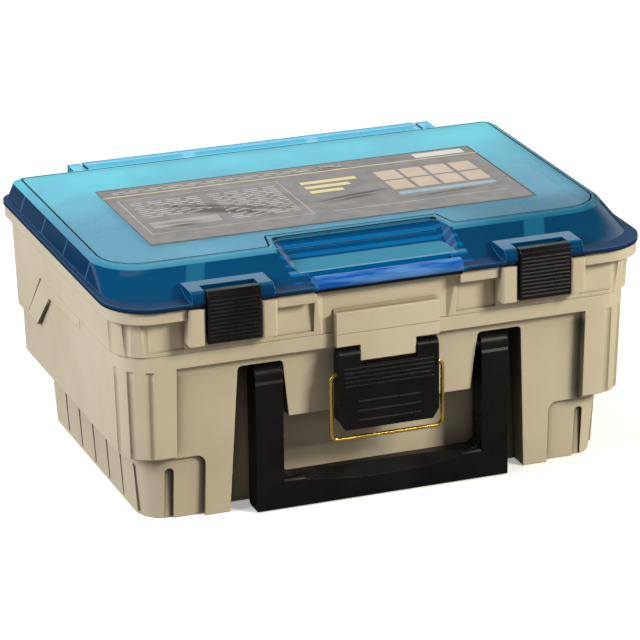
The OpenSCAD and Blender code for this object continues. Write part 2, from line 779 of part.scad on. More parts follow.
module lid() {
    top_x = flange_w / 2 - lid_top_inset;
    color(clear_blue) home() difference() {
        union() {
            difference() {
                union() {
                    translate([0, 0, flange_z]) linear_extrude(lid_flange_t)
                        plan(0, 0, 0, front_r, rear_r);
                    lid_dome(0, flange_z + 1);
                    both_sides() latch_bracket();
                }
                difference() {
                    lid_dome(lid_wall, flange_z - 1);
                    lid_notch(lid_wall);
                    // Solid behind the latch pockets
                    both_sides() box([latch_x - latch_w / 2 - 3, 0, flange_z - 2],
                                     [latch_x + latch_w / 2 + 3, latch_pocket_y + 2, lid_z]);
                }
                lid_notch(0);
                both_sides() latch_pocket();
                box([-bay_x, -1, flange_z - 1], [bay_x, bar_y + 1, lid_z]);
                box([-bay_x - eps, -1, flange_z + 2.4], [bay_x + eps, notch_floor_front, lid_z]);
            }
            // Floor and front wall of the notch, and the grip bar
            box([-bay_x - 1, bar_y, flange_z], [bay_x + 1, notch_floor_front + 2, flange_z + 2.4]);
            box([-notch_low_x - 1, notch_floor_front - 2.4, flange_z],
                [notch_low_x + 1, notch_floor_front, notch_floor_z]);
            rod(-bay_x - 1, bay_x + 1, [bar_y, bar_z], bar_d / 2);
            lid_tail();
            // Short ribs inside the side walls
            both_sides() for (y = [80:53.5:flange_d - 40])
                along_y(y, y + 1.4)
                    polygon([[top_x, flange_z + 1.5],
                             [flange_w / 2 - lid_base_inset - 1.6, flange_z + 1.5],
                             [flange_w / 2 - lid_shoulder_inset - 0.8, lid_shoulder_z - 2.5],
                             [top_x, lid_shoulder_z - 2.5]]);
        }
        // Two fine grooves along the back of the notch
        for (t = [0.42, 0.82])
            rod(-notch_low_x + 1, notch_low_x - 1,
                [notch_floor_back + t * (notch_back_y - notch_floor_back),
                 notch_floor_z + t * (lid_z + 1 - notch_floor_z)], 0.8);
        // Fine groove round the flat top
        translate([0, 0, lid_z - groove_depth]) linear_extrude(groove_depth + 1) difference() {
            offset(r = 5, $fn = 24) offset(delta = -6.2) lid_top_outline();
            offset(r = 5 - groove_w, $fn = 24) offset(delta = -6.2) lid_top_outline();
        }
        // Bores for the hinge pin and the latch pins
        rod(-far, far, lid_axis, pin_d / 2 + run);
        both_sides() {
            rod(latch_x - latch_w / 2 - ear_w + 1.5, latch_x + latch_w / 2 + ear_w - 1.5,
                latch_axis, pin_d / 2);
            // Room for the upper case's knuckles on the hinge
            for (k = lid_knuckles)
                box([k[0] - side_gap, flange_d - 5, flange_z - 1],
                    [k[1] + side_gap, far, lid_axis[1] + barrel_r + 1]);
        }
        // Room for the upper case's rim under the hinge barrels
        box([-far, flange_d - 4, flange_z - 9], [far, lid_axis[0] + 9, flange_z]);
    }
}

// Film label lying on the flat top
module lid_label() {
    label_x = 1.5;
    label_y = lid_top_front + 35.5;
    low = lid_z + eps;
    color([0.60, 0.57, 0.54]) home()
        box([label_x - label_w / 2, label_y, low],
            [label_x + label_w / 2, label_y + label_d, low + label_t]);
}

// ---------------------------------------------------------------- lid latches

module lid_latch(x) {
    x0 = x - latch_w / 2;
    x1 = x + latch_w / 2;
    front = -latch_proud;
    low = latch_low_z;
    shell = 3;
    color(black) home() difference() {
        union() {
            along_x(x0, x1) {
                polygon([[front, low + 1], [front + 1, low], [front + shell, low],
                         [front + shell, latch_axis[1] - 4], [latch_axis[0], latch_axis[1] - 5],
                         [latch_axis[0], latch_axis[1] + 6.2],
                         [front + 2.6, latch_axis[1] + 6.2], [front, latch_axis[1] + 3.4]]);
                translate(latch_axis) circle(5.2, $fn = 48);
            }
            // Inner hook
            along_x(x0 + 6, x1 - 6)
                polygon([[front + shell - 1, low + 4], [latch_axis[0] + 0.5, low + 6.5],
                         [latch_axis[0] + 0.5, hook_top_z], [front + shell - 1, hook_top_z]]);
            // Side flanges
            for (xs = [x0, x1 - 2])
                box([xs, front + 1, low], [xs + 2, 2.9, latch_axis[1] - 3]);
            // Grip ribs
            for (i = [0:latch_ribs - 1])
                rod(x0 + 1, x1 - 1, [front + 0.7, low + 3 + i * (latch_len - 1) / latch_ribs],
                    0.7 + rib_proud);
        }
        rod(x0 - 1, x1 + 1, latch_axis, pin_d / 2 + run);
    }
}

module lid_latch_pin(x) {
    reach = latch_w / 2 + ear_w - 1.5;
    color(steel) home() rod(x - reach, x + reach, latch_axis, pin_d / 2);
}

// ---------------------------------------------------------------- hinge pins

module lid_hinge_pin() {
    reach = lid_knuckles[1][1] - 0.5;
    color(steel) home() rod(-reach, reach, lid_axis, pin_d / 2);
}

module case_hinge_pin(side) {
    x0 = case_hinge_x + 1;
    x1 = case_hinge_x + 5 * knuckle_w - 1;
    color(steel) home() rod(side > 0 ? x0 : -x1, side > 0 ? x1 : -x0, case_axis, pin_d / 2);
}

// ---------------------------------------------------------------- draw latch

module main_latch_plate() {
    low = plate_axis[1] - plate_len;
    front = plate_axis[0] - plate_r;
    knuckle_x = tongue_w / 2 + side_gap;
    chamfer_x = 4.5;
    chamfer_z = 7;
    color(black) home() difference() {
        union() {
            along_y(front, front + plate_t)
                polygon([[-plate_x, plate_axis[1]], [-plate_x, low + chamfer_z],
                         [-plate_x + chamfer_x, low], [plate_x - chamfer_x, low],
                         [plate_x, low + chamfer_z], [plate_x, plate_axis[1]]]);
            both_sides() {
                box([plate_x - 2.4, front, low + chamfer_z],
                    [plate_x, front + plate_back, plate_axis[1]]);
                rod(knuckle_x, plate_x, plate_axis, plate_r);
            }
            box([-plate_x + chamfer_x, front, low], [plate_x - chamfer_x, front + 6, low + 2.4]);
            // Low ribs above and three grip lines below
            for (i = [0:4])
                rod(-plate_x + 4, plate_x - 4, [front + 0.7, bail_axis[1] - 9 + i * 3.3], 1.1);
            for (i = [0:2])
                rod(-24, 24, [front + 0.6, low + 6 + i * 7.2], 1.1);
        }
        // Room for the tongue of the hinge block
        box([-knuckle_x, front - 5, plate_axis[1] - plate_r - 1.4],
            [knuckle_x, front + 20, plate_axis[1] + 9]);
        rod(-plate_x - 1, plate_x + 1, plate_axis, pin_d / 2 + run);
        rod(-plate_x - 1, plate_x + 1, bail_axis, wire_d / 2 + run);
    }
}

module main_latch_pin() {
    color(steel) home() rod(-plate_x + 0.5, plate_x - 0.5, plate_axis, pin_d / 2);
}

// A quarter bend of the wire, from +x round to -z about its own centre
module wire_bend(x, z, a0) {
    translate([x, bail_axis[0], z]) rotate([90, 0, 0]) rotate([0, 0, a0])
        rotate_extrude(angle = 90, $fn = 48) translate([bend_r, 0]) circle(wire_d / 2, $fn = 24);
}

module latch_bail() {
    low = bail_axis[1] - bail_len;
    r = wire_d / 2;
    color([0.83, 0.68, 0.28]) home() both_sides() {
        rod(plate_x - 6, bail_x - bend_r, bail_axis, r);
        wire_bend(bail_x - bend_r, bail_axis[1] - bend_r, 0);
        translate([bail_x, bail_axis[0], low + bend_r])
            cylinder(h = bail_len - 2 * bend_r, r = r, $fn = 48);
        wire_bend(bail_x - bend_r, low + bend_r, -90);
        rod(0, bail_x - bend_r, [bail_axis[0], low], r);
    }
}

// ---------------------------------------------------------------- carry handle

module handle_grip(z0) {
    front = handle_axis[0] - handle_t / 2;
    back = handle_axis[0] + handle_t / 2;
    top = z0 + grip_h;
    edge = 4;
    along_x(-handle_x, handle_x) {
        difference() {
            translate([front, z0]) square([handle_t, grip_h]);
            translate([back - edge, top - edge]) square(edge + 1);
            translate([front - 1, top - edge]) square(edge + 1);
            translate([back - edge, z0 - 1]) square([edge + 1, edge + 1]);
        }
        translate([back - edge, top - edge]) circle(edge, $fn = 48);
        translate([front + edge, top - edge]) circle(edge, $fn = 48);
        translate([back - edge, z0 + edge]) circle(edge, $fn = 48);
    }
}

module carry_handle() {
    z0 = handle_floor_gap;
    front = handle_axis[0] - handle_t / 2;
    back = handle_axis[0] + handle_t / 2;
    inner = handle_x - arm_w;
    fillet = 8;
    half = inner - 8;
    scallop_r = (half * half + grip_scallop * grip_scallop) / (2 * grip_scallop);
    color(black) home() difference() {
        union() {
            handle_grip(z0);
            both_sides() {
                along_x(inner, handle_x) {
                    polygon([[front, z0], [back - 4, z0], [back, z0 + 4], [back, handle_axis[1]],
                             [handle_axis[0], handle_axis[1] + 1], [front + 2.5, handle_axis[1] - 1],
                             [front, handle_axis[1] - 5]]);
                    translate(handle_axis) circle(8.4, $fn = 64);
                }
                // Fillet between the arm and the grip
                difference() {
                    box([inner - fillet, front + 3, z0 + grip_h - 1],
                        [inner + eps, back - 3, z0 + grip_h + fillet]);
                    translate([inner - fillet, far, z0 + grip_h + fillet]) rotate([90, 0, 0])
                        cylinder(h = 2 * far, r = fillet, $fn = 48);
                }
            }
        }
        both_sides() {
            rod(inner - 1, handle_x - 1.5, handle_axis, handle_pin_d / 2 + run);
            // Ribbed hollows in the back of the arms
            for (i = [0:1])
                box([inner + 3.5, back - 10, z0 + grip_h + 10 + i * 25],
                    [handle_x - 3.5, back + 1, z0 + grip_h + 31 + i * 25]);
        }
        // Soft hollow along the front top edge of the grip
        intersection() {
            translate([0, front, z0 + grip_h]) rotate([45, 0, 0])
                translate([0, 0, scallop_r - grip_scallop - 1.2]) rotate([-90, 0, 0])
                    cylinder(h = 60, r = scallop_r, center = true, $fn = 240);
            box([-inner, front - 1, z0], [inner, back, z0 + grip_h + 1]);
        }
        // Ribbed hollows in the back of the grip
        for (i = [-2:2])
            box([i * 34 - 15, back - 11, z0 + 7], [i * 34 + 15, back + 1, z0 + grip_h - 6]);
    }
}

module handle_pin(side) {
    x0 = apron_low_x - 7.5;
    x1 = handle_x - 2;
    color(steel) home()
        rod(side > 0 ? x0 : -x1, side > 0 ? x1 : -x0, handle_axis, handle_pin_d / 2);
}

// ---------------------------------------------------------------- tray dividers

// A removable divider in a slot of the front bay or of the rear bay
module tray_divider(slot, rear) {
    y0 = rear ? cross_wall_y + 1.4 : tray_front_y + 0.6;
    y1 = rear ? flange_d - tray_rear - 0.4 : cross_wall_y - 1.4;
    x = slot * slot_pitch;
    thumb_r = 9;
    color(beige) home() difference() {
        box([x - divider_t / 2, y0, tray_z], [x + divider_t / 2, y1, tray_z + divider_h - 1]);
        rod(x - 5, x + 5, [(y0 + y1) / 2, tray_z + divider_h + 3], thumb_r);
    }
}

lower_case();
upper_case();
lid();
lid_label();
lid_latch(-latch_x);  // lid_latch_left
lid_latch(latch_x);  // lid_latch_right
lid_latch_pin(-latch_x);  // lid_latch_pin_left
lid_latch_pin(latch_x);  // lid_latch_pin_right
lid_hinge_pin();
case_hinge_pin(-1);  // case_hinge_pin_left
case_hinge_pin(1);  // case_hinge_pin_right
main_latch_plate();
main_latch_pin();
latch_bail();
carry_handle();
handle_pin(-1);  // handle_pin_left
handle_pin(1);  // handle_pin_right
tray_divider(-2, false);  // tray_divider_front_1
tray_divider(0, false);  // tray_divider_front_2
tray_divider(2, false);  // tray_divider_front_3
tray_divider(-2, true);  // tray_divider_rear_1
tray_divider(0, true);  // tray_divider_rear_2
tray_divider(2, true);  // tray_divider_rear_3
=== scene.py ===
"""Looks of the two-level tackle cabinet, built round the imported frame. Blender 4.5, metres."""

import math

import bmesh
import bpy
from mathutils import Matrix, Vector


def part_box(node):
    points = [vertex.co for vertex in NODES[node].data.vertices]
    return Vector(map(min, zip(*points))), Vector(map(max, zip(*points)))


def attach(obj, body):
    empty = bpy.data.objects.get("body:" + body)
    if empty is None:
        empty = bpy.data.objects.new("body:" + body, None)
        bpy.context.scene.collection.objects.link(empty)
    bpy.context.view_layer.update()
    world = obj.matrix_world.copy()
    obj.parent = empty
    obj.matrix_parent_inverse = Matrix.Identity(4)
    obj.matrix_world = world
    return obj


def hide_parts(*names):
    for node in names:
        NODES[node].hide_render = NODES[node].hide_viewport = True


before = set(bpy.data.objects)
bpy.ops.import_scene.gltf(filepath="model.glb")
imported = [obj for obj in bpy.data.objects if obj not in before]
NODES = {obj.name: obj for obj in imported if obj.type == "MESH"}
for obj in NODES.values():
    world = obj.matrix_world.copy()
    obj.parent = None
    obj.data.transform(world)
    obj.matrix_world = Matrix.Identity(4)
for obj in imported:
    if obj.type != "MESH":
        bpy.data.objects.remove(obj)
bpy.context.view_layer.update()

# The boxes of the lid and its label, which the looks are laid out from
LID_LOW, LID_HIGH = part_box("lid")
LABEL_LOW, LABEL_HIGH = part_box("lid_label")
MM = 1000.0


# ------------------------------------------------------------------ node helpers

class Tree:
    """A material, with helpers that add nodes to it and join them."""

    def __init__(self, name):
        self.mat = bpy.data.materials.new(name)
        self.mat.use_nodes = True
        self.nt = self.mat.node_tree
        self.nt.nodes.clear()
        out = self.add("ShaderNodeOutputMaterial")
        self.bsdf = self.add("ShaderNodeBsdfPrincipled")
        self.link(self.bsdf.outputs["BSDF"], out.inputs["Surface"])
        self.coord = self.add("ShaderNodeTexCoord")

    def add(self, kind, **props):
        node = self.nt.nodes.new(kind)
        for key, value in props.items():
            setattr(node, key, value)
        return node

    def link(self, source, target):
        self.nt.links.new(source, target)

    def put(self, target, value):
        """Sets a socket to a number or colour, or joins it to another socket."""
        if isinstance(value, bpy.types.NodeSocket):
            self.link(value, target)
        elif isinstance(value, (tuple, list)) and len(value) == 3 and target.type == "RGBA":
            target.default_value = (*value, 1)
        else:
            target.default_value = value

    def shade(self, socket, value):
        """Sets or joins a socket of the shader."""
        self.put(self.bsdf.inputs[socket], value)

    def math(self, op, a, b=0.0, c=0.0):
        node = self.add("ShaderNodeMath", operation=op)
        for socket, value in zip(node.inputs, (a, b, c)):
            self.put(socket, value)
        return node.outputs[0]

    def all_of(self, *masks):
        product = masks[0]
        for mask in masks[1:]:
            product = self.math("MULTIPLY", product, mask)
        return product

    def smooth(self, value, low, high, to_low=0.0, to_high=1.0):
        """A soft step from to_low where the value is low to to_high where it is high."""
        node = self.add("ShaderNodeMapRange", interpolation_type="SMOOTHSTEP")
        for name, v in (("Value", value), ("From Min", low), ("From Max", high),
                        ("To Min", to_low), ("To Max", to_high)):
            self.put(node.inputs[name], v)
        return node.outputs["Result"]

    def between(self, value, low, high, soft=0.25):
        """1 where the value is between low and high, with soft sides."""
        return self.all_of(self.smooth(value, low - soft, low + soft),
                           self.smooth(value, high + soft, high - soft))

    def mix(self, share, a, b):
        node = self.add("ShaderNodeMix", data_type="RGBA")
        self.put(node.inputs["Factor"], share)
        colour_a, colour_b = [s for s in node.inputs if s.enabled and s.name in "AB"]
        self.put(colour_a, a)
        self.put(colour_b, b)
        return next(s for s in node.outputs if s.enabled)

    def noise(self, scale, detail=3.0, roughness=0.5, stretch=(1, 1, 1), distortion=0.0):
        mapping = self.add("ShaderNodeMapping")
        mapping.inputs["Scale"].default_value = stretch
        self.link(self.coord.outputs["Object"], mapping.inputs["Vector"])
        node = self.add("ShaderNodeTexNoise")
        self.link(mapping.outputs[0], node.inputs["Vector"])
        for name, value in (("Scale", scale), ("Detail", detail), ("Roughness", roughness),
                            ("Distortion", distortion)):
            node.inputs[name].default_value = value
        return node.outputs["Fac"]

    def xyz(self, which="Object"):
        node = self.add("ShaderNodeSeparateXYZ")
        self.link(self.coord.outputs[which], node.inputs[0])
        return list(node.outputs)

    def millimetres(self, origin=(0, 0, 0)):
        """The place on the object in mm from an origin in metres, along X, Y and Z."""
        return [self.math("MULTIPLY_ADD", value, MM, -MM * start)
                for value, start in zip(self.xyz(), origin)]

    def creases(self, reach, low=0.35, high=0.95):
        """0 deep in a crease or corner of the mesh, rising to 1 out in the open."""
        node = self.add("ShaderNodeAmbientOcclusion", samples=6, only_local=True)
        node.inputs["Distance"].default_value = reach
        return self.smooth(node.outputs["AO"], low, high)

    def round_edges(self, radius):
        """The normal of the mesh as if its edges were rounded."""
        node = self.add("ShaderNodeBevel", samples=4)
        node.inputs["Radius"].default_value = radius
        return node.outputs[0]

    def edges(self, radius, low=0.02, high=0.30):
        """1 on the edges of the mesh, falling to 0 a radius away."""
        dot = self.add("ShaderNodeVectorMath", operation="DOT_PRODUCT")
        self.link(self.round_edges(radius), dot.inputs[0])
        self.link(self.add("ShaderNodeNewGeometry").outputs["Normal"], dot.inputs[1])
        return self.smooth(self.math("SUBTRACT", 1.0, dot.outputs["Value"]), low, high)

    def bump(self, height, strength, distance, normal=None):
        node = self.add("ShaderNodeBump")
        node.inputs["Strength"].default_value = strength
        node.inputs["Distance"].default_value = distance
        self.link(height, node.inputs["Height"])
        if normal is not None:
            self.link(normal, node.inputs["Normal"])
        return node.outputs[0]


# ------------------------------------------------------------------ materials

def beige_plastic():
    """Moulded plastic: broad tones, flow marks, specks, edges paler as wear and painted
    highlight, painted shade in creases.
    """
    dark, light = (0.575, 0.500, 0.362), (0.630, 0.555, 0.412)
    flow_mark, speck_mark = (0.650, 0.590, 0.470), (0.46, 0.40, 0.29)
    worn_and_lit_edge, crease_shade, recess_shade = (0.72, 0.66, 0.54), (0.30, 0.235, 0.150), (0.070, 0.060, 0.044)
    # Distances in metres, and the height in mm where the recess's painted shade starts and where
    # it is full
    worn_and_lit_width, crease_reach, recess_reach, edge = 0.0011, 0.005, 0.060, 0.0008
    recess_height = (116, 108)

    t = Tree("beige_case_plastic")
    broad = t.noise(9, detail=4, roughness=0.55)
    flow = t.noise(26, stretch=(1, 1, 0.22), distortion=0.6)
    speck = t.noise(700, detail=2, roughness=0.6)
    tone = t.mix(t.smooth(broad, 0.35, 0.68), dark, light)
    tone = t.mix(t.smooth(flow, 0.45, 0.75, 0, 0.28), tone, flow_mark)
    tone = t.mix(t.smooth(speck, 0.62, 0.75, 0, 0.16), tone, speck_mark)
    # Edges are painted paler, partly as wear and partly as highlight
    tone = t.mix(t.math("MULTIPLY", t.edges(worn_and_lit_width), 0.35), tone, worn_and_lit_edge)
    # Creases and corners of the mesh are painted darker as shade
    tone = t.mix(t.creases(crease_reach), crease_shade, tone)
    # The handle's recess, a wide hollow low in the lower case, is painted much darker as shade
    height = t.millimetres()[2]
    hollow = t.math("SUBTRACT", 1.0, t.creases(recess_reach, 0.45, 0.97))
    tone = t.mix(t.all_of(hollow, t.smooth(height, *recess_height)), tone, recess_shade)
    t.shade("Base Color", tone)

    matt = t.noise(60, detail=4, roughness=0.6)
    t.shade("Roughness", t.smooth(matt, 0.3, 0.7, 0.42, 0.56))
    t.shade("Specular IOR Level", 0.3)
    t.shade("Subsurface Weight", 0.04)
    t.shade("Subsurface Radius", (0.003, 0.002, 0.001))
    grain = t.bump(t.noise(1500, detail=2), 0.10, 0.0003, t.round_edges(edge))
    t.shade("Normal", t.bump(t.noise(45), 0.12, 0.0006, grain))
    return t.mat


def black_plastic():
    """Satin plastic with broad tones, scuffs, and edges painted paler as part wear and part
    highlight.
    """
    dark, light = (0.0022, 0.0022, 0.0025), (0.0045, 0.0045, 0.005)
    scuffed, worn_and_lit_edge = (0.016, 0.016, 0.018), (0.040, 0.040, 0.042)
    edge = 0.0007

    t = Tree("black_satin_plastic")
    broad = t.noise(30, detail=4, roughness=0.6)
    scuff = t.noise(160, detail=5, roughness=0.7, stretch=(0.25, 1, 1), distortion=1.2)
    tone = t.mix(t.smooth(broad, 0.35, 0.7), dark, light)
    tone = t.mix(t.smooth(scuff, 0.66, 0.82, 0, 0.25), tone, scuffed)
    # Edges are painted paler, partly as wear and partly as highlight
    tone = t.mix(t.math("MULTIPLY", t.edges(edge), 0.7), tone, worn_and_lit_edge)
    t.shade("Base Color", tone)

    rough = t.smooth(broad, 0.3, 0.7, 0.25, 0.36)
    t.shade("Roughness", t.math("ADD", rough, t.smooth(scuff, 0.6, 0.8, 0, 0.15)))
    t.shade("Specular IOR Level", 0.24)
    grain = t.bump(t.noise(1800, detail=2), 0.12, 0.0003, t.round_edges(edge))
    t.shade("Normal", t.bump(t.noise(70), 0.10, 0.0005, grain))
    return t.mat


def metal(name, dark, light, rough_low, rough_high, stretch):
    """Drawn metal with fine streaks, which are longest where the stretch is smallest."""
    t = Tree(name)
    streak = t.noise(400, detail=4, roughness=0.6, stretch=stretch)
    rough = t.noise(120, detail=4, roughness=0.6)
    t.shade("Base Color", t.mix(t.smooth(streak, 0.3, 0.7), dark, light))
    t.shade("Metallic", 1.0)
    t.shade("Roughness", t.smooth(rough, 0.3, 0.7, rough_low, rough_high))
    t.shade("Normal", t.bump(streak, 0.08, 0.0002))
    return t.mat


# Places on the lid in mm: x across from its middle, y back from its front edge, and depth below
# its flat top. A pair is where a soft edge starts and ends, or the two sides of a band.
SLOPE_X, TOP_Y, TAIL_Y = (-160, 170), (120, 275), (276, 279)
TOP_DEPTH, LIT_DEPTH = (2.9, 2.4), (17.0, 16.0)
# Where a patch of the flat top is painted darker as shade, softly in x and y
SHADE_PATCH_X, SHADE_PATCH_Y = (40, 120), (105, 70)
# The strips lean across by this share of y, and the ribs repeat over this span of y
STRIP_LEAN, STRIP_LEFT, STRIP_RIGHT, STRIP_Y = -0.39, (-153.7, -140.1), (102.5, 118.5), (24, 49)
RIB_SPAN, RIB_Y = (106.75, 53.25), (79.5, 81.5)
# The notch's bands of painted light and shade are a sine of y, which turns by this many radians
# in a millimetre
BAND_RATE = 0.62
NOTCH_X, NOTCH_Y, NOTCH_DEPTH = (68, 66), (78, 76), (1.2, 1.8)
SHELF_START, SHELF_END = (9.8, 10.3), (11.4, 10.9)
BAR_Y, BAR_X = (12.9, 12.3), (55.5, 54.5)
BRACKET_X, BRACKET_Y, LEDGE_DEPTH = (86, 148), (25.2, 24.6), (6.2, 7.6)
FLANGE_DEPTH, FLANGE_X, FLANGE_FOOT_SHADOW = (14.2, 14.9), (54, 60), (16.2, 17.4)
GROOVE_DEPTH = (0.10, 1.30)
# The alpha of the walls, and of the top at these two places in y. A patch of painted shade on the
# top counts as further back than it is.
WALL_ALPHA, TOP_ALPHA, TOP_ALPHA_Y, SHADE_PATCH_SHIFT = 0.985, (0.46, 0.64), (150, 265), 90


def clear_lid():
    """Tinted clear plastic, painted pale on its level top as light and reflection from above, and
    deep on its slopes and walls as shade.
    """
    slope_left, slope_right = (0.0, 0.062, 0.165), (0.0, 0.042, 0.108)
    slope_swirl, slope_strip = (0.0, 0.050, 0.120), (0.020, 0.200, 0.340)
    wall, wall_rib = (0.0, 0.030, 0.090), (0.030, 0.130, 0.220)
    top_front, top_rear = (0.112, 0.500, 0.760), (0.120, 0.800, 1.000)
    top_swirl, top_shade_patch, tail = (0.080, 0.410, 0.640), (0.010, 0.200, 0.340), (0.010, 0.60, 0.95)
    band_shade, band_lit, shelf = (0.0, 0.055, 0.16), (0.0, 0.12, 0.34), (0.050, 0.230, 0.360)
    bar_dark, bar_light = (0.002, 0.080, 0.380), (0.085, 0.240, 0.560)
    bracket, ledge = (0.0, 0.045, 0.125), (0.010, 0.110, 0.230)
    flange, flange_foot_shadow = (0.0, 0.026, 0.100), (0.0, 0.004, 0.012)
    groove_shade, lit = (0.0, 0.010, 0.030), (0.22, 0.56, 0.74)
    lit_width, edge = 0.0007, 0.0005

    t = Tree("clear_blue_plastic")
    x, y, below = t.millimetres((0, LID_LOW.y, LID_HIGH.z))
    below = t.math("MULTIPLY", below, -1.0)
    side = t.math("ABSOLUTE", x)
    flat = t.math("ABSOLUTE", t.xyz("Normal")[2])
    level = t.smooth(flat, 0.90, 0.97)
    steep = t.smooth(flat, 0.80, 0.50)
    swirl = t.smooth(t.noise(11, distortion=0.8), 0.35, 0.65)

    # The front slope, painted deep as shade and deeper to the right, with paler strips beside the
    # latches
    slope = t.mix(t.smooth(x, *SLOPE_X), slope_left, slope_right)
    slope = t.mix(t.math("MULTIPLY", swirl, 0.4), slope, slope_swirl)
    slant = t.math("MULTIPLY_ADD", y, STRIP_LEAN, x)
    strips = t.math("ADD", t.between(slant, *STRIP_LEFT, soft=0.8),
                    t.between(slant, *STRIP_RIGHT, soft=0.8))
    strips = t.math("MULTIPLY", strips, t.between(y, *STRIP_Y, soft=0.8))
    slope = t.mix(t.math("MULTIPLY", strips, 0.40), slope, slope_strip)
    # The walls, painted deep as shade, and the ribs that show through the side walls
    ribs = t.between(t.math("WRAP", y, *RIB_SPAN), *RIB_Y, soft=0.4)
    tone = t.mix(steep, slope, t.mix(ribs, wall, wall_rib))
    # The flat top, paler to the rear, and the hinge tail, both painted pale as light and
    # reflection from above
    top = t.mix(t.smooth(y, *TOP_Y), top_front, top_rear)
    top = t.mix(t.math("MULTIPLY", swirl, 0.35), top, top_swirl)
    # A patch of the top is painted darker as shade
    shade_patch_mask = t.all_of(t.smooth(x, *SHADE_PATCH_X), t.smooth(y, *SHADE_PATCH_Y))
    top = t.mix(t.math("MULTIPLY", shade_patch_mask, 0.85), top, top_shade_patch)
    is_top = t.smooth(below, *TOP_DEPTH)
    tone = t.mix(is_top, tone, top)
    tone = t.mix(t.all_of(is_top, t.smooth(y, *TAIL_Y)), tone, tail)
    # The notch in the middle: a slope banded with painted light and shade, a shelf painted pale
    # as reflected light, and the bar in front
    in_notch = t.all_of(t.smooth(side, *NOTCH_X), t.smooth(y, *NOTCH_Y),
                        t.smooth(below, *NOTCH_DEPTH))
    bands = t.smooth(t.math("SINE", t.math("MULTIPLY", y, BAND_RATE)), 0.1, 0.7)
    tone = t.mix(in_notch, tone, t.mix(bands, band_shade, band_lit))
    is_shelf = t.all_of(in_notch, level, t.smooth(below, *SHELF_START),
                        t.smooth(below, *SHELF_END))
    tone = t.mix(is_shelf, tone, shelf)
    is_bar = t.all_of(t.smooth(y, *BAR_Y), t.smooth(side, *BAR_X))
    streak = t.smooth(t.noise(120, roughness=0.6, stretch=(0.12, 1, 1)), 0.40, 0.62)
    tone = t.mix(is_bar, tone, t.mix(streak, bar_dark, bar_light))
    # The brackets round the latches, and their level ledge painted paler as light
    at_latch = t.all_of(t.between(side, *BRACKET_X), t.smooth(y, *BRACKET_Y))
    tone = t.mix(at_latch, tone, bracket)
    tone = t.mix(t.all_of(at_latch, level, t.between(below, *LEDGE_DEPTH)), tone, ledge)
    # The flange, with a painted shadow nearly black at its lower edge
    in_flange = t.smooth(below, *FLANGE_DEPTH)
    tone = t.mix(t.all_of(in_flange, t.smooth(side, *FLANGE_X)), tone, flange)
    tone = t.mix(t.smooth(below, *FLANGE_FOOT_SHADOW), tone, flange_foot_shadow)
    # The fine groove round the flat top, painted dark as shade, and the light that edges catch
    upright_or_level = t.math("SUBTRACT", 1.0, t.between(flat, 0.6, 0.93, soft=0.03))
    groove = t.all_of(upright_or_level, t.between(below, *GROOVE_DEPTH, soft=0.05))
    tone = t.mix(groove, tone, groove_shade)
    caught = t.all_of(t.edges(lit_width), t.smooth(below, *LIT_DEPTH, 0, 0.50))
    t.shade("Base Color", t.mix(caught, tone, lit))

    # The top lets more light through than the walls, and most at its front
    as_if_at = t.math("ADD", y, t.math("MULTIPLY", shade_patch_mask, SHADE_PATCH_SHIFT))
    opaque = t.smooth(is_top, 0, 1, WALL_ALPHA, t.smooth(as_if_at, *TOP_ALPHA_Y, *TOP_ALPHA))
    t.shade("Alpha", t.math("MAXIMUM", t.math("MULTIPLY", groove, 0.95), opaque))
    smear = t.smooth(t.noise(90), 0.3, 0.7, 0.05, 0.12)
    dull = t.math("MAXIMUM", t.math("MULTIPLY", groove, 0.8), t.math("MULTIPLY", in_flange, 0.70))
    t.shade("Roughness", t.math("MAXIMUM", smear, dull))
    t.shade("Specular IOR Level", 0.17)
    waves = t.noise(16, detail=2, roughness=0.4)
    t.shade("Normal", t.bump(waves, 0.10, 0.0010, t.round_edges(edge)))
    t.mat.surface_render_method = "BLENDED"
    return t.mat


